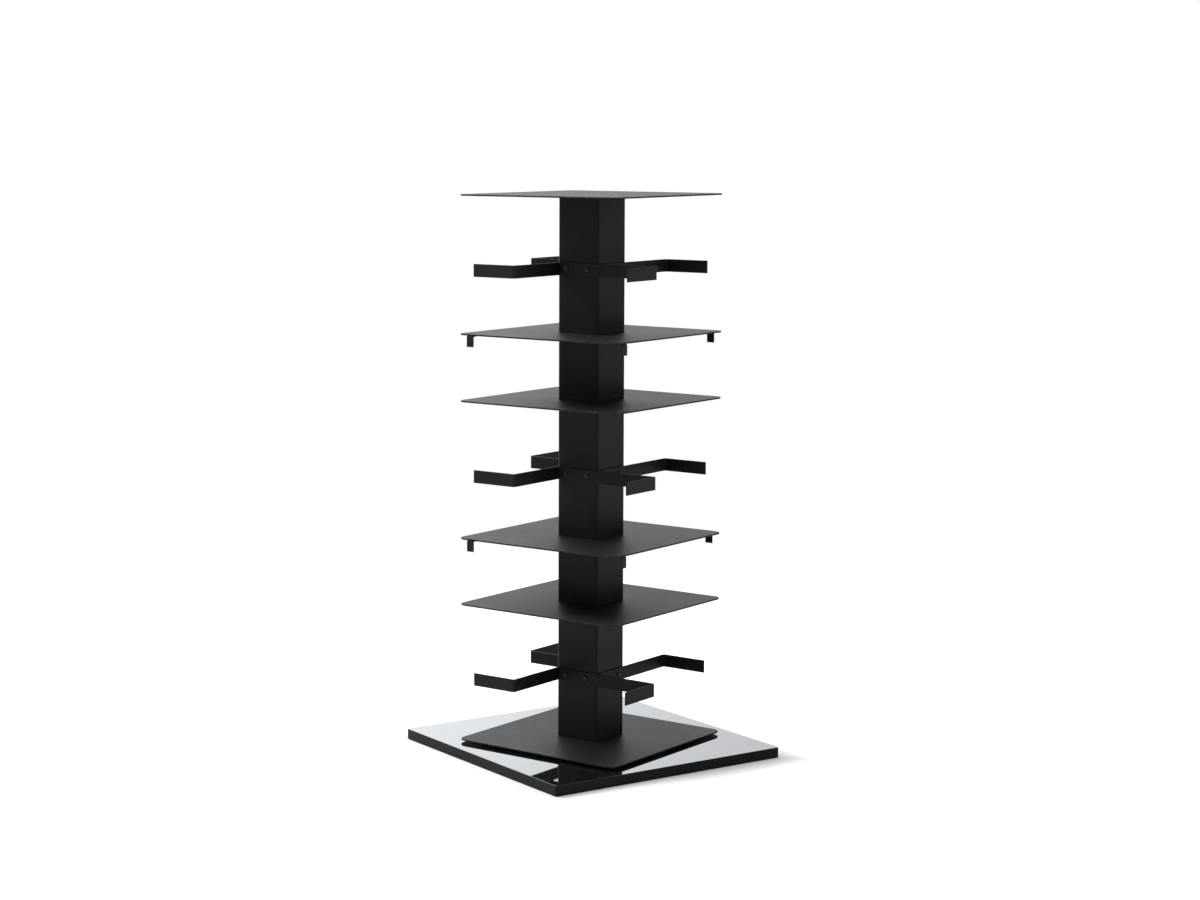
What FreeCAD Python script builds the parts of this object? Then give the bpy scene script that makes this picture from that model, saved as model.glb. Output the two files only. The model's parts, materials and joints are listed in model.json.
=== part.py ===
import FreeCAD
import Part
import math
import os

# Revolving four-sided bookcase, in millimetres. +Z is up, the turning axis is the Z axis and the
# floor is z = 0. The tower's sides lie along X and Y; the base slab is turned by base_turn.

# Base slab and its floor pads
base_side = 530.0
base_thickness = 20.0
base_corner = 4.0
base_turn = -19.0
pad_side = 40.0
pad_thickness = 1.0
pad_inset = 45.0

# Tower: shelves, column and the clear height of each kind of row
tower_side = 375.0
tower_gap = 4.0
shelf_thickness = 3.0
shelf_corner = 18.0
book_height = 267.0
disc_height = 128.0
rows = ["book", "disc", "book", "disc", "book"]
shelf_names = ["shelf_bottom", "shelf_second", "shelf_third", "shelf_fourth", "shelf_fifth", "shelf_top"]
column_side = 95.0
column_corner = 6.0
column_wall = 3.0
mast_play = 0.5
mast_wall = 3.0
mast_corner = 4.0
mast_top_gap = 0.5
cap_thickness = 8.0
cap_play = 0.2

# Book ends: a flat bar along one side of the column, bent back along the tower's face
bar_height = 25.0
bar_thickness = 3.0
bar_bend = 3.0
bar_above_shelf = 124.0
tab_end_from_corner = 41.0
bar_end_margin = 10.0

# Disc stops: small angles that hang from the shelf over a disc row
stop_width = 16.0
stop_drop = 22.0
stop_depth = 10.0
stop_thickness = 2.0
stop_bend = 1.5
stop_from_corner = 24.0

# Roller turntable, let into the slab: rollers in a cage run between two steel discs
disc_radius = 125.0
track_thickness = 3.0
swivel_thickness = 5.0
pocket_play = 0.3
roller_radius = 3.9
roller_length = 20.0
roller_count = 6
roller_inset = 20.0
roller_play = 0.1
cage_width = 30.0
cage_thickness = 4.0
cage_play = 0.25

# Pivot: a post on the lower disc turns in a bush pressed into the upper one; nut and washer stop a lift
post_radius = 12.0
post_thread_radius = 6.0
post_running_play = 0.05
bush_wall = 4.0
bush_seat_play = 0.02
lift_play = 0.3
washer_radius = 22.0
washer_thickness = 2.5
nut_across_flats = 18.0
nut_height = 10.0
thread_spare = 3.0

# Screws: countersunk in the top shelf, cheese-headed on the lower disc
screw_radius = 2.5
head_radius = 4.6
cheese_head_height = 3.0
hole_play = 0.15
thread_play = 0.05
top_screw_length = 10.0
top_screw_offset = 25.0
screw_cover = 1.5
track_screw_circle = 60.0
track_screw_count = 3

# Heights and sides that follow
slab_bottom = pad_thickness
slab_top = slab_bottom + base_thickness
shelf_z = [slab_top + tower_gap]
for row in rows:
    clear = book_height if row == "book" else disc_height
    shelf_z.append(shelf_z[-1] + shelf_thickness + clear)
total_height = shelf_z[-1] + shelf_thickness
half_tower = tower_side / 2
half_column = column_side / 2
hole_side = column_side - 2 * column_wall
mast_side = hole_side - 2 * mast_play
swivel_z = shelf_z[0] - swivel_thickness
roller_z = swivel_z - roller_play - roller_radius
track_top = roller_z - roller_radius - roller_play
pocket_floor = track_top - track_thickness
washer_z = shelf_z[0] + lift_play
roller_circle = disc_radius - roller_inset
track_screw_length = track_top - slab_bottom - screw_cover

Vec = FreeCAD.Vector
UP = Vec(0, 0, 1)
ORIGIN = Vec(0, 0, 0)


def save(name, shape):
    shape.exportStep("parts/" + name + ".step")


def turned(shape, degrees):
    copy = shape.copy()
    copy.rotate(ORIGIN, UP, degrees)
    return copy


def rounded_square(side, radius, z, height):
    """Upright prism on a square with rounded corners, centred on the Z axis."""
    half = side / 2
    inner = half - radius
    edges = []
    for quarter in range(4):
        swing = FreeCAD.Rotation(UP, 90 * quarter)
        start = swing.multVec(Vec(half, -inner, 0))
        end = swing.multVec(Vec(half, inner, 0))
        edges.append(Part.LineSegment(start, end).toShape())
        diagonal = inner + radius * math.cos(math.pi / 4)
        middle = swing.multVec(Vec(diagonal, diagonal, 0))
        finish = swing.multVec(Vec(inner, half, 0))
        edges.append(Part.Arc(end, middle, finish).toShape())
    face = Part.Face(Part.Wire(edges))
    face.translate(Vec(0, 0, z))
    return face.extrude(Vec(0, 0, height))


def cylinder(radius, z, height, x=0.0, y=0.0):
    return Part.makeCylinder(radius, height, Vec(x, y, z), UP)


def around(radius, count, start=0.0):
    """Points evenly spaced on a circle about the Z axis."""
    for n in range(count):
        angle = math.radians(start + 360.0 * n / count)
        yield radius * math.cos(angle), radius * math.sin(angle)


def angle_strip(long_leg, short_leg, thickness, bend, width):
    """A strip bent square: long leg along +X, short leg along +Y, outer corner at the origin."""
    outer = bend + thickness
    centre = Vec(outer, outer, 0)
    slant = math.cos(math.pi / 4)
    outer_middle = centre - Vec(outer * slant, outer * slant, 0)
    inner_middle = centre - Vec(bend * slant, bend * slant, 0)
    corners = [
        Vec(outer, 0, 0),
        Vec(long_leg, 0, 0),
        Vec(long_leg, thickness, 0),
        Vec(outer, thickness, 0),
        Vec(thickness, outer, 0),
        Vec(thickness, short_leg, 0),
        Vec(0, short_leg, 0),
        Vec(0, outer, 0),
    ]
    edges = []
    for first, second in ((0, 1), (1, 2), (2, 3), (4, 5), (5, 6), (6, 7)):
        edges.append(Part.LineSegment(corners[first], corners[second]).toShape())
    edges.append(Part.Arc(corners[3], inner_middle, corners[4]).toShape())
    edges.append(Part.Arc(corners[7], outer_middle, corners[0]).toShape())
    face = Part.Face(Part.Wire(Part.__sortEdges__(edges)))
    return face.extrude(Vec(0, 0, width))


def countersunk_screw(length, x, y, top):
    """Runs down from top, with its head's face at that height."""
    sink = head_radius - screw_radius
    head = Part.makeCone(screw_radius, head_radius, sink, Vec(x, y, top - sink), UP)
    return head.fuse(cylinder(screw_radius, top - length, length, x, y)).removeSplitter()


def countersunk_hole(depth, x, y, top):
    """What a countersunk screw needs cut away, with play round its head and shank."""
    sink = head_radius - screw_radius
    narrow = screw_radius + hole_play
    hole = Part.makeCone(narrow, head_radius + hole_play, sink, Vec(x, y, top - sink), UP)
    return hole.fuse(cylinder(narrow, top - depth, depth, x, y))


def cheese_screw(length, x, y, seat):
    """Runs down from its seat, with a plain round head above it."""
    head = cylinder(head_radius, seat, cheese_head_height, x, y)
    return head.fuse(cylinder(screw_radius, seat - length, length, x, y))


def thread_hole(depth, x, y, top):
    return cylinder(screw_radius + thread_play, top - depth, depth, x, y)


def ring(inside, outside, z, height):
    return cylinder(outside, z, height).cut(cylinder(inside, z, height))


# ---- base ----


def pad_places():
    half = base_side / 2 - pad_inset
    for x, y in ((half, half), (-half, half), (-half, -half), (half, -half)):
        yield x, y


def track_screw_places():
    return around(track_screw_circle, track_screw_count, 90.0)


def make_slab():
    slab = turned(rounded_square(base_side, base_corner, slab_bottom, base_thickness), base_turn)
    slab = slab.cut(cylinder(disc_radius + pocket_play, pocket_floor, slab_top - pocket_floor))
    for x, y in track_screw_places():
        slab = slab.cut(thread_hole(track_screw_length, x, y, track_top))
    return slab


def make_pads():
    corner_names = ["back_right", "back_left", "front_left", "front_right"]
    for name, (x, y) in zip(corner_names, pad_places()):
        corner = Vec(x - pad_side / 2, y - pad_side / 2, 0)
        pad = Part.makeBox(pad_side, pad_side, pad_thickness, corner)
        save("foot_pad_" + name, turned(pad, base_turn))


# ---- turntable ----


def make_track_disc():
    disc = cylinder(disc_radius, pocket_floor, track_thickness)
    for x, y in track_screw_places():
        disc = disc.cut(cylinder(screw_radius + hole_play, pocket_floor, track_thickness, x, y))
    return disc


def make_track_screws():
    screws = [cheese_screw(track_screw_length, x, y, track_top) for x, y in track_screw_places()]
    return Part.makeCompound(screws)


def make_roller_cage():
    """Flat ring that keeps the rollers apart, with a square pocket round each."""
    bottom = roller_z - cage_thickness / 2
    cage = ring(roller_circle - cage_width / 2, roller_circle + cage_width / 2, bottom, cage_thickness)
    pocket_length = roller_length + 2 * cage_play
    pocket_width = 2 * (roller_radius + cage_play)
    corner = Vec(roller_circle - pocket_length / 2, -pocket_width / 2, bottom)
    pocket = Part.makeBox(pocket_length, pocket_width, cage_thickness, corner)
    for n in range(roller_count):
        cage = cage.cut(turned(pocket, 360.0 * n / roller_count))
    return cage


def make_rollers():
    start = Vec(roller_circle - roller_length / 2, 0, roller_z)
    roller = Part.makeCylinder(roller_radius, roller_length, start, Vec(1, 0, 0))
    return Part.makeCompound([turned(roller, 360.0 * n / roller_count) for n in range(roller_count)])


def make_swivel_plate():
    bush_outside = post_radius + post_running_play + bush_wall
    return ring(bush_outside + bush_seat_play, disc_radius, swivel_z, swivel_thickness)


def make_pivot_post():
    post = cylinder(post_radius, track_top, washer_z - track_top)
    thread = washer_thickness + nut_height + thread_spare
    return post.fuse(cylinder(post_thread_radius, washer_z, thread))


def make_pivot_bush():
    inside = post_radius + post_running_play
    return ring(inside, inside + bush_wall, swivel_z, swivel_thickness)


def make_pivot_washer():
    return ring(post_thread_radius + thread_play, washer_radius, washer_z, washer_thickness)


def make_pivot_nut():
    bottom = washer_z + washer_thickness
    corner_radius = nut_across_flats / 2 / math.cos(math.radians(30))
    points = [Vec(x, y, bottom) for x, y in around(corner_radius, 6)]
    nut = Part.Face(Part.makePolygon(points + points[:1])).extrude(Vec(0, 0, nut_height))
    return nut.cut(cylinder(post_thread_radius + thread_play, bottom, nut_height))


# ---- column ----


def square_tube(side, corner, wall, z, height):
    body = rounded_square(side, corner, z, height)
    return body.cut(square_bar(side - 2 * wall, z, height))


def square_bar(side, z, height):
    return Part.makeBox(side, side, height, Vec(-side / 2, -side / 2, z))


def make_mast():
    bottom = shelf_z[0]
    return square_tube(mast_side, mast_corner, mast_wall, bottom, shelf_z[-1] - mast_top_gap - bottom)


def cap_screw_places():
    for x in (-top_screw_offset, top_screw_offset):
        yield x, x


def make_mast_cap():
    bottom = shelf_z[-1] - mast_top_gap - cap_thickness
    cap = square_bar(mast_side - 2 * mast_wall - 2 * cap_play, bottom, cap_thickness)
    for x, y in cap_screw_places():
        cap = cap.cut(thread_hole(cap_thickness, x, y, bottom + cap_thickness))
    return cap


def make_sleeve(row):
    """Length of square tube between two shelves. It slides over the mast and spaces the shelves."""
    bottom = shelf_z[row] + shelf_thickness
    return square_tube(column_side, column_corner, column_wall, bottom, shelf_z[row + 1] - bottom)


# ---- shelves ----


def make_shelf(level):
    z = shelf_z[level]
    plate = rounded_square(tower_side, shelf_corner, z, shelf_thickness)
    if level < len(rows):
        return plate.cut(square_bar(hole_side, z, shelf_thickness))
    for x, y in cap_screw_places():
        plate = plate.cut(countersunk_hole(shelf_thickness, x, y, z + shelf_thickness))
    return plate


def make_top_screws():
    screws = [countersunk_screw(top_screw_length, x, y, total_height) for x, y in cap_screw_places()]
    return Part.makeCompound(screws)


# ---- book ends and disc stops ----


def front_bar(row):
    """Book end of the front face: along the column's left side, out to the face, then back to the left."""
    arm_length = half_tower + half_column - bar_end_margin
    tab_length = half_tower - half_column - tab_end_from_corner
    bar = angle_strip(arm_length, tab_length, bar_thickness, bar_bend, bar_height)
    bar.rotate(ORIGIN, UP, 90)
    bottom = shelf_z[row] + shelf_thickness + bar_above_shelf - bar_height / 2
    bar.translate(Vec(-half_column, -half_tower, bottom))
    return bar


def front_stop(level):
    """Disc stop of the front face, under the shelf at that level."""
    stop = angle_strip(stop_drop, stop_depth, stop_thickness, stop_bend, stop_width)
    stop.rotate(ORIGIN, Vec(0, 1, 0), 90)
    stop.translate(Vec(-half_tower + stop_from_corner, -half_tower, shelf_z[level]))
    return stop


face_names = ["front", "right", "back", "left"]


def make_book_ends():
    for place, row in zip(("low", "middle", "high"), (0, 2, 4)):
        bar = front_bar(row)
        for quarter, face in enumerate(face_names):
            save("book_end_" + place + "_" + face, turned(bar, 90 * quarter))


def make_disc_stops():
    for place, level in zip(("low", "high"), (2, 4)):
        stop = front_stop(level)
        for quarter, face in enumerate(face_names):
            save("disc_stop_" + place + "_" + face, turned(stop, 90 * quarter))


# ---- everything ----

os.makedirs("parts", exist_ok=True)
save("base_slab", make_slab())
make_pads()
save("track_disc", make_track_disc())
save("track_screws", make_track_screws())
save("roller_cage", make_roller_cage())
save("rollers", make_rollers())
save("swivel_plate", make_swivel_plate())
save("pivot_post", make_pivot_post())
save("pivot_bush", make_pivot_bush())
save("pivot_washer", make_pivot_washer())
save("pivot_nut", make_pivot_nut())
save("mast", make_mast())
save("mast_cap", make_mast_cap())
for row_number in range(len(rows)):
    save("column_sleeve_" + str(row_number + 1), make_sleeve(row_number))
for level_number, shelf_name in enumerate(shelf_names):
    save(shelf_name, make_shelf(level_number))
save("shelf_top_screws", make_top_screws())
make_book_ends()
make_disc_stops()
print("overall height", total_height)
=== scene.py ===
import json
import math

import bmesh
import bpy
from mathutils import Matrix, Vector


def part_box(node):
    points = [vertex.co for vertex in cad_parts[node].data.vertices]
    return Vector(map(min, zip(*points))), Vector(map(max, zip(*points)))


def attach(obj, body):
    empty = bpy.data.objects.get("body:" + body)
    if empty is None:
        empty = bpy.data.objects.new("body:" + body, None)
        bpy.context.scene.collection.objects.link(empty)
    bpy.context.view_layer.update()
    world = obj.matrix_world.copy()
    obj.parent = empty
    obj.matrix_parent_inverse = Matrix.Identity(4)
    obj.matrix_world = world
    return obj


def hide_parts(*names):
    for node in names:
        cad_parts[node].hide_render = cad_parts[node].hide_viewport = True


# Revolving four-sided bookcase: black steel tower on a gloss black slab.
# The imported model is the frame; everything here is in metres.

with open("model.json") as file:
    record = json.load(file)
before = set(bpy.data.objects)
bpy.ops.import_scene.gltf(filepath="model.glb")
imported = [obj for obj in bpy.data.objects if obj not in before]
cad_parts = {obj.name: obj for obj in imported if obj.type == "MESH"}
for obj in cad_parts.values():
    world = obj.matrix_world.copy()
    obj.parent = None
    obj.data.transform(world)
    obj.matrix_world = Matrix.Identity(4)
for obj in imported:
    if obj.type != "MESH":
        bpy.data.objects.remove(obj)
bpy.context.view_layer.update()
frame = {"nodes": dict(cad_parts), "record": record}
nodes = frame["nodes"]
print("frame:", len(nodes), "nodes")

mm = 0.001
faceNames = ("front", "right", "back", "left")


class Wire:  # a node's output socket; arithmetic on it adds Math nodes
    def __init__(self, recipe, socket):
        self.recipe = recipe
        self.socket = socket
        self.isVector = socket.type == "VECTOR"

    def maths(self, operation, first, second=0.0):
        kind, values = "ShaderNodeMath", [first, second]
        if any(isinstance(v, Wire) and v.isVector for v in values):
            kind = "ShaderNodeVectorMath"
            values = [v if isinstance(v, (Wire, tuple)) else (v, v, v) for v in values]
        return self.recipe.add(kind, {"operation": operation}, dict(enumerate(values)))

    def __add__(self, other):
        return self.maths("ADD", self, other)

    def __sub__(self, other):
        return self.maths("SUBTRACT", self, other)

    def __rsub__(self, other):
        return self.maths("SUBTRACT", other, self)

    def __mul__(self, other):
        return self.maths("MULTIPLY", self, other)

    __radd__ = __add__
    __rmul__ = __mul__

    def __abs__(self):
        return self.maths("ABSOLUTE", self)

    def atLeast(self, floor):
        return self.maths("MAXIMUM", self, floor)

    def ramp(self, low, high, start=0.0, end=1.0):  # eased step from start to end
        return self.recipe.add(
            "ShaderNodeMapRange",
            {"interpolation_type": "SMOOTHSTEP"},
            {"Value": self, "From Min": low, "From Max": high, "To Min": start, "To Max": end},
        )


class Recipe:  # the nodes of a material or of the world
    def __init__(self, owner):
        owner.use_nodes = True
        self.owner = owner
        self.tree = owner.node_tree
        self.tree.nodes.clear()

    def add(self, kind, settings=None, sockets=None, output=0):
        node = self.tree.nodes.new(kind)
        for key, value in (settings or {}).items():
            setattr(node, key, value)
        for key, value in (sockets or {}).items():
            if isinstance(value, Wire):
                self.tree.links.new(value.socket, node.inputs[key])
            else:
                node.inputs[key].default_value = value
        return Wire(self, node.outputs[output]) if node.outputs else None

    def place(self):  # position on the part, in metres
        return self.add("ShaderNodeTexCoord", output="Object")

    def flatPlace(self):  # the same, seen from above
        return self.place() * (1.0, 1.0, 0.0)

    def height(self):
        return self.add("ShaderNodeSeparateXYZ", None, {"Vector": self.place()}, "Z")

    def noise(self, scale, detail, rough, vector=None):
        return self.add(
            "ShaderNodeTexNoise",
            {"noise_dimensions": "3D"},
            {"Vector": vector or self.place(), "Scale": scale, "Detail": detail, "Roughness": rough},
        )

    def cells(self, scale):
        return self.add("ShaderNodeTexVoronoi", None, {"Vector": self.place(), "Scale": scale})

    def blend(self, share, low, high):  # sockets 6 and 7 and output 2 are the Mix node's colours
        return self.add("ShaderNodeMix", {"data_type": "RGBA"}, {0: share, 6: low, 7: high}, 2)

    def length(self, vector):
        return self.add("ShaderNodeVectorMath", {"operation": "LENGTH"}, {0: vector}, "Value")

    def dot(self, vector, direction):
        sockets = {0: vector, 1: direction}
        return self.add("ShaderNodeVectorMath", {"operation": "DOT_PRODUCT"}, sockets, "Value")

    def bump(self, height, depth):
        return self.add("ShaderNodeBump", None, {"Height": height, "Distance": depth})

    def rays(self, kind):  # 1 for rays of this kind
        return self.add("ShaderNodeLightPath", output="Is " + kind + " Ray")

    def surface(self, **sockets):
        values = {key.replace("_", " "): value for key, value in sockets.items()}
        shader = self.add("ShaderNodeBsdfPrincipled", None, values)
        self.add("ShaderNodeOutputMaterial", None, {"Surface": shader})
        return self.owner


def grey(value, green=0.0, blue=0.0):  # green and blue are what tints it
    return (value, value + green, value + blue, 1.0)


# Finishes: a noise is its scale, detail and roughness, and a ramp is where it starts and ends.
slabFinish = {
    "top": grey(0.0045, 0.0012, 0.0006),
    "side": grey(0.0046, 0.0014, 0.0006),
    "specular": 0.12,
    "topRough": 0.018,
    "sideRough": 0.3,  # added to the top's, as the underside's is to the sides'
    "underRough": 0.2,
    "coatRough": 0.015,
    "coatIor": 1.8,
    "mirrorDepth": (1.0 * mm, 0.2 * mm),  # depths at which the mirror finish starts and is full
    "bareHeight": (0.1 * mm, 0.5 * mm),  # heights at which the bare underside starts to fade, and is gone
    "peel": (160.0, 1.0, 0.5),
    "peelDepth": 0.004 * mm,
    "fibre": (1400.0, 3.0, 0.7),
    "fibreHeight": 20.0,  # times the peel's
    "smears": (9.0, 4.0, 0.6),
    "smearRamp": (0.46, 0.72),
    "smearRough": 0.03,
    "specks": 900.0,
    "speckRamp": (0.035, 0.012),
    "dusty": (22.0, 2.0, 0.5),  # where the specks gather
    "dustyRamp": (0.5, 0.65),
    "dustColour": grey(0.12),
    "dustShare": 0.2,
    "dustRough": 0.25,
}


def slabLacquer():
    look = slabFinish
    low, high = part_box("base_slab")
    recipe = Recipe(bpy.data.materials.new("slabLacquer"))
    height = recipe.height()
    mirrorStart, mirrorFull = look["mirrorDepth"]
    bareFull, bareEnd = look["bareHeight"]
    topMask = height.ramp(high.z - mirrorStart, high.z - mirrorFull)
    underMask = height.ramp(low.z + bareFull, low.z + bareEnd, 1.0, 0.0)
    sideMask = 1.0 - topMask
    smears = recipe.noise(*look["smears"]).ramp(*look["smearRamp"])
    specks = recipe.cells(look["specks"]).ramp(*look["speckRamp"])
    dust = specks * recipe.noise(*look["dusty"]).ramp(*look["dustyRamp"])
    colour = recipe.blend(sideMask, look["top"], look["side"])
    colour = recipe.blend(dust * topMask * look["dustShare"], colour, look["dustColour"])
    rough = look["topRough"] + smears * look["smearRough"] + dust * look["dustRough"]
    rough = rough + sideMask * look["sideRough"] + underMask * look["underRough"]
    peel = recipe.noise(*look["peel"])
    fibre = recipe.noise(*look["fibre"]) * underMask
    return recipe.surface(
        Base_Color=colour,
        Roughness=rough,
        Specular_IOR_Level=look["specular"],
        Coat_Weight=topMask,
        Coat_Roughness=look["coatRough"],
        Coat_IOR=look["coatIor"],
        Normal=recipe.bump(peel + fibre * look["fibreHeight"], look["peelDepth"]),
    )


paintFinish = {
    "towerRough": 0.36,
    "barRough": 0.42,
    "shelfRough": 0.42,
    "shelfWear": 0.4,
    "colour": grey(0.009, 0.0028, 0.001),
    "pale": grey(0.0125, 0.0036, 0.0013),
    "worn": grey(0.045, 0.004, 0.002),
    "specular": 0.14,
    "cloud": (7.0, 3.0, 0.6),
    "cloudRamp": (0.3, 0.7),
    "cloudRough": 0.08,
    "grain": (1700.0, 2.0, 0.6),
    "grainRough": 0.06,
    "grainHeight": 0.5,  # times the flow's
    "flow": (260.0, 2.0, 0.5),
    "flowDepth": 0.012 * mm,
    "scuffs": (55.0, 5.0, 0.75),
    "scuffStretch": (1.0, 2.5, 1.0),
    "scuffRamp": (0.52, 0.75),
    "scuffPolish": 0.07,  # taken off the roughness
    "rubbed": (60.0, 4.0, 0.7),
    "rubbedRamp": (0.5, 0.62),
    "rubbedPolish": 0.08,
    "rubbedWidth": (1.0 * mm, 0.1 * mm),  # from the rim to where the rubbing starts and is full
    "shelfCorner": 18.0 * mm,
}


def rimMask(recipe, half, corner, width):  # 1 on the shelves' rounded outline, 0 further in
    beyond = (abs(recipe.flatPlace()) - (half - corner)).atLeast(0.0)
    start, full = width
    return recipe.length(beyond).ramp(corner - start, corner - full)


def powderCoat(name, roughness, wear=0.0):
    look = paintFinish
    recipe = Recipe(bpy.data.materials.new(name))
    grain = recipe.noise(*look["grain"])
    flow = recipe.noise(*look["flow"])
    cloud = recipe.noise(*look["cloud"])
    colour = recipe.blend(cloud.ramp(*look["cloudRamp"]), look["colour"], look["pale"])
    rough = roughness + cloud * look["cloudRough"] + grain * look["grainRough"]
    if wear:  # books slide over the rims and polish them
        low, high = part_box("shelf_top")
        rim = rimMask(recipe, high.x, look["shelfCorner"], look["rubbedWidth"])
        rubbed = rim * recipe.noise(*look["rubbed"]).ramp(*look["rubbedRamp"]) * wear
        scuffs = recipe.noise(*look["scuffs"], recipe.place() * look["scuffStretch"])
        scuffs = scuffs.ramp(*look["scuffRamp"])
        colour = recipe.blend(rubbed, colour, look["worn"])
        rough = rough - scuffs * look["scuffPolish"] - rubbed * look["rubbedPolish"]
    return recipe.surface(
        Base_Color=colour,
        Roughness=rough,
        Specular_IOR_Level=look["specular"],
        Normal=recipe.bump(grain * look["grainHeight"] + flow, look["flowDepth"]),
    )


discFinish = {
    "colour": grey(0.42),
    "stained": (0.30, 0.27, 0.23, 1.0),
    "stains": (18.0, 3.0, 0.6),
    "stainRamp": (0.4, 0.75),
    "stainShare": 0.5,
    "rough": 0.24,
    "stainRough": 0.08,
    "rings": (2600.0, 3.0, 0.6),
    "ringRough": 0.16,
    "ringDepth": 0.01 * mm,
}


def turnedSteel():  # lathe-turned discs, rings about the axis
    look = discFinish
    recipe = Recipe(bpy.data.materials.new("turnedSteel"))
    radius = recipe.length(recipe.flatPlace())
    spot = recipe.add("ShaderNodeCombineXYZ", None, {"X": radius, "Y": 0.0, "Z": recipe.height()})
    rings = recipe.noise(*look["rings"], spot)
    stain = recipe.noise(*look["stains"]).ramp(*look["stainRamp"])
    return recipe.surface(
        Base_Color=recipe.blend(stain * look["stainShare"], look["colour"], look["stained"]),
        Metallic=1.0,
        Roughness=look["rough"] + rings * look["ringRough"] + stain * look["stainRough"],
        Normal=recipe.bump(rings, look["ringDepth"]),
    )


screwFinish = {
    "colour": grey(0.03, 0.001, 0.003),
    "pale": grey(0.065, 0.001, 0.004),
    "metallic": 0.85,
    "mottle": (500.0, 3.0, 0.6),
    "mottleRamp": (0.35, 0.7),
    "rough": 0.28,
    "mottleRough": 0.15,
    "mottleDepth": 0.01 * mm,
}


def blackenedSteel():
    look = screwFinish
    recipe = Recipe(bpy.data.materials.new("blackenedSteel"))
    mottle = recipe.noise(*look["mottle"])
    return recipe.surface(
        Base_Color=recipe.blend(mottle.ramp(*look["mottleRamp"]), look["colour"], look["pale"]),
        Metallic=look["metallic"],
        Roughness=look["rough"] + mottle * look["mottleRough"],
        Normal=recipe.bump(mottle, look["mottleDepth"]),
    )


plasticFinish = {
    "cage": (0.75, 0.73, 0.66, 1.0),
    "cageRough": 0.42,
    "bush": (0.78, 0.76, 0.7, 1.0),
    "bushRough": 0.38,
    "cloud": (30.0, 2.0, 0.5),
    "cloudDark": 0.8,  # share of the colour where it is darkest
    "spark": (1100.0, 3.0, 0.6),
    "sparkRough": 0.12,
    "sparkDepth": 0.01 * mm,
}


def mouldedPlastic(name, colour, roughness):
    look = plasticFinish
    recipe = Recipe(bpy.data.materials.new(name))
    spark = recipe.noise(*look["spark"])
    dark = tuple(look["cloudDark"] * part for part in colour[:3]) + (1.0,)
    return recipe.surface(
        Base_Color=recipe.blend(recipe.noise(*look["cloud"]), colour, dark),
        Roughness=roughness + spark * look["sparkRough"],
        Normal=recipe.bump(spark, look["sparkDepth"]),
    )


rubberFinish = {
    "colour": grey(0.014),
    "dusted": grey(0.05),
    "specular": 0.3,
    "dust": (120.0, 4.0, 0.7),
    "dustRamp": (0.5, 0.8),
    "dustShare": 0.5,
    "rough": 0.7,
    "grain": (900.0, 3.0, 0.65),
    "grainRough": 0.15,
    "grainDepth": 0.03 * mm,
}


def padRubber():
    look = rubberFinish
    recipe = Recipe(bpy.data.materials.new("padRubber"))
    grain = recipe.noise(*look["grain"])
    dust = recipe.noise(*look["dust"]).ramp(*look["dustRamp"])
    return recipe.surface(
        Base_Color=recipe.blend(dust * look["dustShare"], look["colour"], look["dusted"]),
        Roughness=look["rough"] + grain * look["grainRough"],
        Specular_IOR_Level=look["specular"],
        Normal=recipe.bump(grain, look["grainDepth"]),
    )


finishes = {
    "slab_lacquer": slabLacquer(),
    "tower_paint": powderCoat("towerPaint", paintFinish["towerRough"]),
    "bar_paint": powderCoat("barPaint", paintFinish["barRough"]),
    "bearing_steel": turnedSteel(),
    "screw_steel": blackenedSteel(),
    "cage_plastic": mouldedPlastic("cageNylon", plasticFinish["cage"], plasticFinish["cageRough"]),
    "bush_plastic": mouldedPlastic("bushNylon", plasticFinish["bush"], plasticFinish["bushRough"]),
    "pad_rubber": padRubber(),
}
shelfPaint = powderCoat("shelfPaint", paintFinish["shelfRough"], paintFinish["shelfWear"])
print("materials:", len(finishes) + 1)


edgeRounding = {  # the rounding's width and segments, for nodes whose names start so
    "base_slab": (1.0 * mm, 4),
    "foot_pad": (0.2 * mm, 2),
    "shelf": (0.5 * mm, 3),
    "column_sleeve": (0.4 * mm, 2),
    "book_end": (0.4 * mm, 2),
    "disc_stop": (0.3 * mm, 2),
}
edgeLimits = {
    "merge": 0.002 * mm,
    "flatAngle": math.radians(0.5),  # faces that meet below this are joined
    "sharpAngle": math.radians(28),  # edges over this are rounded
}


def roundEdges(piece, width, segments):
    weld = piece.modifiers.new("weld", "WELD")
    weld.merge_threshold = edgeLimits["merge"]
    flatten = piece.modifiers.new("flatten", "DECIMATE")
    flatten.decimate_type = "DISSOLVE"
    flatten.angle_limit = edgeLimits["flatAngle"]
    bevel = piece.modifiers.new("bevel", "BEVEL")
    bevel.width = width
    bevel.segments = segments
    bevel.limit_method = "ANGLE"
    bevel.angle_limit = edgeLimits["sharpAngle"]
    bevel.use_clamp_overlap = True
    piece.modifiers.new("normals", "WEIGHTED_NORMAL")


def kindOf(name):  # the row of edgeRounding that a node belongs to
    if name == "shelf_top_screws":
        return None
    return next((start for start in edgeRounding if name.startswith(start)), None)


def finishNodes():
    slotOfNode = {row["node"]: row["material_slot"] for row in frame["record"]["subparts"]}
    for name, piece in nodes.items():
        kind = kindOf(name)
        piece.data.materials.clear()
        piece.data.materials.append(shelfPaint if kind == "shelf" else finishes[slotOfNode[name]])
        if kind:
            roundEdges(piece, *edgeRounding[kind])


finishNodes()
print("frame pieces finished")


def hexRadius(angle, acrossFlats):
    return acrossFlats / 2 / math.cos(angle % (math.pi / 3) - math.pi / 6)


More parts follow.
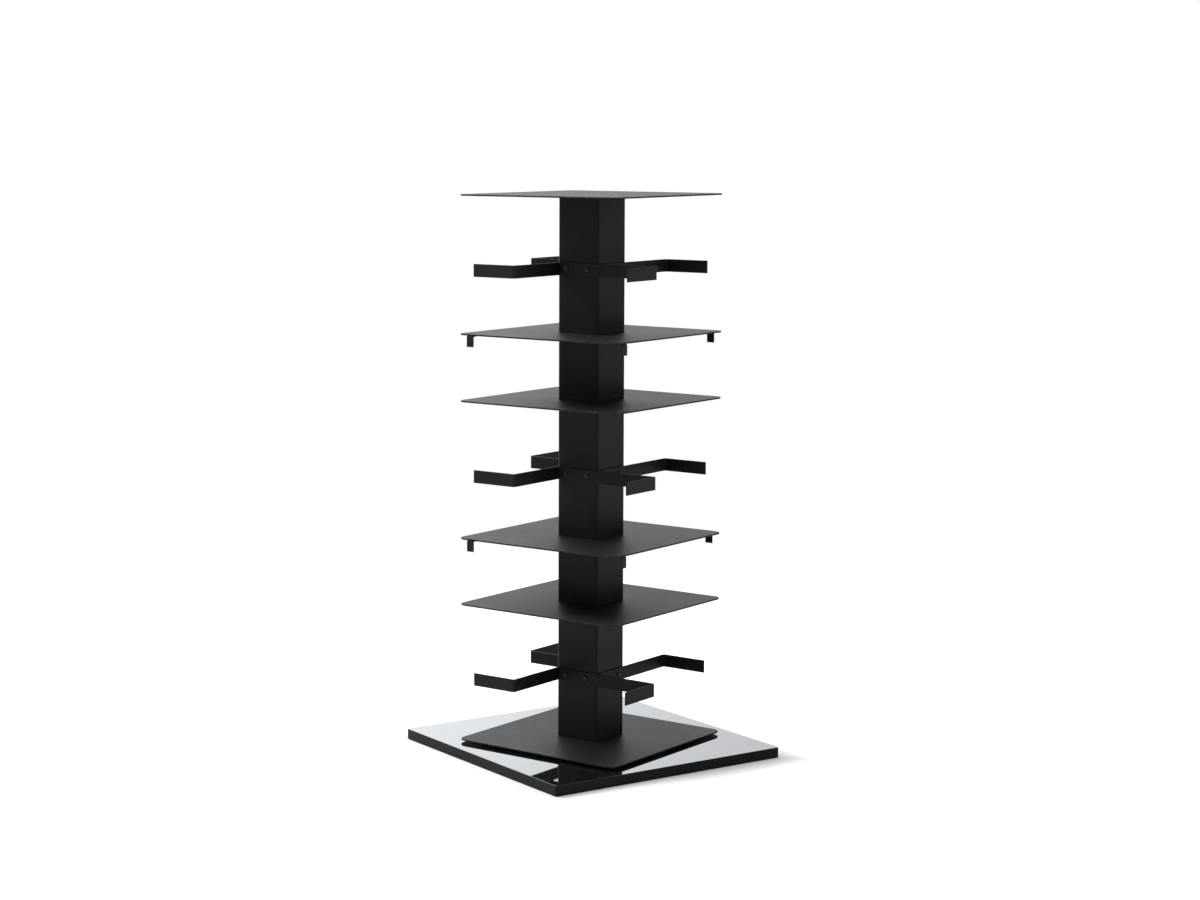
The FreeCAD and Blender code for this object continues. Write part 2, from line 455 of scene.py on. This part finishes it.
# Each row of a profile is a radius or a size across flats, a height, and whether it is a hexagon.
def addTurned(build, profile, matrix, sides=24):
    rings = []
    for size, height, isHex in profile:
        if size == 0:
            rings.append([build.verts.new(matrix @ Vector((0, 0, height)))])
            continue
        ring = []
        for n in range(sides):
            angle = 2 * math.pi * n / sides
            reach = hexRadius(angle, size) if isHex else size
            spot = Vector((reach * math.cos(angle), reach * math.sin(angle), height))
            ring.append(build.verts.new(matrix @ spot))
        rings.append(ring)
    for first, second in zip(rings, rings[1:]):
        for n in range(sides):
            after = n + 1
            corners = [first[n % len(first)], first[after % len(first)]]
            corners += [second[after % len(second)], second[n % len(second)]]
            build.faces.new(dict.fromkeys(corners))


def finishPiece(build, name, slot, body, sharp=35):
    bmesh.ops.recalc_face_normals(build, faces=build.faces)
    mesh = bpy.data.meshes.new(name)
    build.to_mesh(mesh)
    build.free()
    mesh.materials.append(finishes[slot])
    mesh.shade_smooth()
    mesh.set_sharp_from_angle(angle=math.radians(sharp))
    piece = bpy.data.objects.new(name, mesh)
    bpy.context.scene.collection.objects.link(piece)
    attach(piece, body)
    return piece


def turnedTo(face):  # turns what is built for the front face to another one
    return Matrix.Rotation(math.radians(90 * faceNames.index(face)), 4, "Z")


socketCut = {
    "mouth": 0.3 * mm,  # how much wider its mouth is
    "lead": 0.15 * mm,
    "tip": 0.5 * mm,  # depth of the cone at its bottom
}


def socketRows(size, top, depth):  # hexagon socket, from its mouth to its drilled bottom
    look = socketCut
    return [
        (size + look["mouth"], top, True),
        (size, top - look["lead"], True),
        (size, top - depth, True),
        (0, top - depth - look["tip"], False),
    ]


barScrew = {
    "head": 4.75 * mm,  # radius, and so is the flat's
    "flat": 2.5 * mm,
    "height": 2.75 * mm,
    "rim": 0.4 * mm,  # height at which the dome starts
    "break": 0.1 * mm,  # chamfer
    "domeSteps": 6,
    "socket": 3.0 * mm,  # across flats
    "depth": 1.6 * mm,
    "spread": 25.0 * mm,  # either side of the column's middle
    "barThickness": 3.0 * mm,
}


def buttonHead():
    look = barScrew
    rows = [(0, 0, False), (look["head"] - look["break"], 0, False)]
    rows.append((look["head"], look["break"], False))
    for step in range(look["domeSteps"] + 1):
        angle = math.radians(90 * step / look["domeSteps"])
        size = look["flat"] + (look["head"] - look["flat"]) * math.cos(angle)
        rows.append((size, look["rim"] + (look["height"] - look["rim"]) * math.sin(angle), False))
    return rows + socketRows(look["socket"], look["height"], look["depth"])


def makeBarScrews():
    look = barScrew
    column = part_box("column_sleeve_1")[0]
    for row in ("low", "middle", "high"):
        low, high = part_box("book_end_" + row + "_front")
        for face in faceNames:
            build = bmesh.new()
            for y in (-look["spread"], look["spread"]):
                spot = Vector((column.x - look["barThickness"], y, (low.z + high.z) / 2))
                stand = Matrix.Translation(spot) @ Matrix.Rotation(math.radians(-90), 4, "Y")
                addTurned(build, buttonHead(), turnedTo(face) @ stand)
            finishPiece(build, "bar_screws_" + row + "_" + face, "screw_steel", "tower")


topScrew = {
    "head": 4.6 * mm,  # radius, and so is the shank's
    "shank": 2.5 * mm,
    "length": 10.0 * mm,
    "tip": 0.4 * mm,  # chamfers of the tip and of the head
    "break": 0.1 * mm,
    "socket": 3.0 * mm,  # across flats
    "depth": 1.7 * mm,
}


def makeTopScrews():
    look = topScrew
    low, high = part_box("shelf_top_screws")
    cone = look["head"] - look["shank"]
    rows = [
        (0, -look["length"], False),
        (look["shank"] - look["tip"], -look["length"], False),
        (look["shank"], -look["length"] + look["tip"], False),
        (look["shank"], -cone, False),
        (look["head"] - look["break"], -look["break"], False),
        (look["head"] - 2 * look["break"], 0, False),
    ]
    rows += socketRows(look["socket"], 0, look["depth"])
    build = bmesh.new()
    inset = look["head"]
    for x, y in ((low.x + inset, low.y + inset), (high.x - inset, high.y - inset)):
        addTurned(build, rows, Matrix.Translation(Vector((x, y, high.z))))
    piece = finishPiece(build, "top_shelf_screws", "screw_steel", "tower")
    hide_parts("shelf_top_screws")


stopWeld = {
    "size": 1.5 * mm,
    "ripple": 0.16,  # share of the size
    "pitch": 1.3 * mm,
    "inset": 1.0 * mm,
    "depth": 10.0 * mm,  # from the stop's front to the weld
    "steps": 40,
    "arc": [math.radians(30 * k) for k in range(4)],  # where its section has points
    "taper": 8,  # a higher power ends it more bluntly
    "endSize": 0.02,
}


def addBead(build, start, end, back, top, turn):
    look = stopWeld
    steps = look["steps"]
    rings = []
    for n in range(steps + 1):
        x = start + (end - start) * n / steps
        wave = 1 + look["ripple"] * math.sin(2 * math.pi * (x - start) / look["pitch"])
        fade = math.sqrt(max(look["endSize"], 1 - (2 * n / steps - 1) ** look["taper"]))
        size = look["size"] * wave * fade
        section = [Vector((x, back, top))]
        for angle in look["arc"]:
            section.append(Vector((x, back + size * math.cos(angle), top - size * math.sin(angle))))
        rings.append([build.verts.new(turn @ spot) for spot in section])
    sides = len(rings[0])
    for first, second in zip(rings, rings[1:]):
        for k in range(sides):
            after = (k + 1) % sides
            build.faces.new((first[k], first[after], second[after], second[k]))
    build.faces.new(rings[0])
    build.faces.new(rings[-1])


def makeStopWelds():  # small fillet welds behind the disc stops, under the painted shelves
    look = stopWeld
    for row in ("low", "high"):
        low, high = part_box("disc_stop_" + row + "_front")
        start, end = low.x + look["inset"], high.x - look["inset"]
        for face in faceNames:
            build = bmesh.new()
            addBead(build, start, end, low.y + look["depth"], high.z, turnedTo(face))
            finishPiece(build, "stop_weld_" + row + "_" + face, "tower_paint", "tower", sharp=60)


makeBarScrews()
makeTopScrews()
makeStopWelds()
print("small pieces made")


cameraSetup = {
    "azimuth": 35.6,  # round the part, from the front towards the right
    "distance": 4.896,
    "height": 1.235,
    "pan": 2.1,  # aim, to the left of the axis
    "tilt": 5.6,  # downwards
    "focal": 75.28,
    "sensor": 36.0,
    "shift": (1 / 12, -1 / 15),  # of the lens, as parts of the picture's width
    "clipEnd": 60.0,
}


def makeCamera():
    setup = cameraSetup
    data = bpy.data.cameras.new("camera")
    data.sensor_width = setup["sensor"]
    data.lens = setup["focal"]
    data.shift_x, data.shift_y = setup["shift"]
    data.clip_end = setup["clipEnd"]
    camera = bpy.data.objects.new("camera", data)
    angle = math.radians(setup["azimuth"])
    reach = setup["distance"]
    camera.location = (reach * math.sin(angle), -reach * math.cos(angle), setup["height"])
    turn = math.radians(setup["azimuth"] + setup["pan"])
    camera.rotation_euler = (math.radians(90 - setup["tilt"]), 0, turn)
    bpy.context.scene.collection.objects.link(camera)
    bpy.context.scene.camera = camera


lampAim = Vector((0, 0, 0.45))
lamps = {  # azimuth, elevation, distance, size, power
    "key": (-78, 46, 4.2, 2.8, 200),
    "fill": (36, 62, 4.6, 2.2, 100),
    "overhead": (-20, 86, 4.4, 2.8, 28),
}


def makeLamps():
    for name, (azimuth, elevation, distance, size, power) in lamps.items():
        data = bpy.data.lights.new(name, "AREA")
        data.shape = "RECTANGLE"
        data.size, data.size_y = size, size
        data.energy = power
        lamp = bpy.data.objects.new(name, data)
        turn, rise = math.radians(azimuth), math.radians(elevation)
        flat = math.cos(rise)
        away = Vector((math.sin(turn) * flat, -math.cos(turn) * flat, math.sin(rise)))
        lamp.location = lampAim + away * distance
        lamp.rotation_euler = away.to_track_quat("Z", "Y").to_euler()
        bpy.context.scene.collection.objects.link(lamp)


studio = {
    "ambient": 0.36,
    "backlight": 0.9,  # what the backdrop adds
    "backdropTurn": 35.6,  # where it stands, opposite this azimuth
    "backdropEdge": (0.35, 0.85),  # cosine at which it starts and is full
    "sides": 0.36,  # how bright the rest of the room looks in a mirror
    "mirrorRight": 1.16,  # how bright the backdrop looks in a mirror, at its right and left
    "mirrorLeft": 2.1,
    "mirrorSplit": (-0.14, 0.16),  # where the right ends and the left starts
    "mirrorTone": (0.94, 0.965, 1.0, 1.0),
    "floorTone": 0.66,
    # the floor's lift is kept low beside the slab and rises further out, which paints a contact shadow on
    # the floor round the slab
    "floorLiftAndPaintedShadow": (0.02, 0.6),  # beside the slab and further out
    "slabHalf": 0.265,  # half its side, and its turn, for the shadow round it
    "slabTurn": -19.0,
    "paintedShadowReach": 0.085,
    "floorReach": 9.0,
    "floorFade": (0.9, 2.4),  # where it turns to plain white
}


def mirrorRays(recipe):
    return (recipe.rays("Glossy") + recipe.rays("Transmission")).ramp(0.0, 1.0)


def makeWorld():
    look = studio
    world = bpy.data.worlds.new("studio")
    bpy.context.scene.world = world
    recipe = Recipe(world)
    turn = math.radians(look["backdropTurn"])
    direction = recipe.add("ShaderNodeTexCoord", output="Generated")
    toLeft = recipe.dot(direction, (-math.cos(turn), -math.sin(turn), 0.0))
    toBack = recipe.dot(direction, (-math.sin(turn), math.cos(turn), 0.0))
    behind = toBack.ramp(*look["backdropEdge"])
    glow = toLeft.ramp(*look["mirrorSplit"], look["mirrorRight"], look["mirrorLeft"])
    mirrored = behind * (glow - look["sides"]) + look["sides"]
    scattered = behind * look["backlight"] + look["ambient"]
    tone = recipe.blend(recipe.rays("Glossy"), grey(1.0), look["mirrorTone"])
    seen = recipe.rays("Camera")
    mirror = mirrorRays(recipe)
    strength = seen + mirror * mirrored + (1.0 - seen) * (1.0 - mirror) * scattered
    background = recipe.add("ShaderNodeBackground", None, {"Color": tone, "Strength": strength})
    recipe.add("ShaderNodeOutputWorld", None, {"Surface": background})


def floorWhite():
    look = studio
    recipe = Recipe(bpy.data.materials.new("floorWhite"))
    far = recipe.length(recipe.flatPlace()).ramp(*look["floorFade"])
    turn = math.radians(look["slabTurn"])
    along = abs(recipe.dot(recipe.place(), (math.cos(turn), math.sin(turn), 0.0)))
    across = abs(recipe.dot(recipe.place(), (-math.sin(turn), math.cos(turn), 0.0)))
    beside = along.atLeast(across) - look["slabHalf"]
    # painted shadow: the camera sees less lift near the slab's outline, so the floor reads darker round
    # the slab
    glow = beside.ramp(0.0, look["paintedShadowReach"], *look["floorLiftAndPaintedShadow"])
    seen = recipe.rays("Camera")
    paper = recipe.add("ShaderNodeBsdfDiffuse", None, {"Color": grey(look["floorTone"])})
    white = recipe.add("ShaderNodeEmission", None, {"Color": grey(1.0), "Strength": 1.0})
    lift = recipe.add("ShaderNodeEmission", None, {"Color": grey(1.0), "Strength": seen * glow})
    near = recipe.add("ShaderNodeAddShader", None, {0: paper, 1: lift})
    share = (seen + mirrorRays(recipe)).ramp(0.0, 1.0) * far
    mixed = recipe.add("ShaderNodeMixShader", None, {0: share, 1: near, 2: white})
    recipe.add("ShaderNodeOutputMaterial", None, {"Surface": mixed})
    return recipe.owner


def makeFloor():
    mesh = bpy.data.meshes.new("floor")
    build = bmesh.new()
    bmesh.ops.create_circle(build, cap_ends=True, segments=96, radius=studio["floorReach"])
    build.to_mesh(mesh)
    build.free()
    mesh.materials.append(floorWhite())
    floor = bpy.data.objects.new("floor", mesh)
    bpy.context.scene.collection.objects.link(floor)


makeCamera()
makeLamps()
makeWorld()
makeFloor()
bpy.context.scene.view_settings.view_transform = "Standard"
print("studio ready")
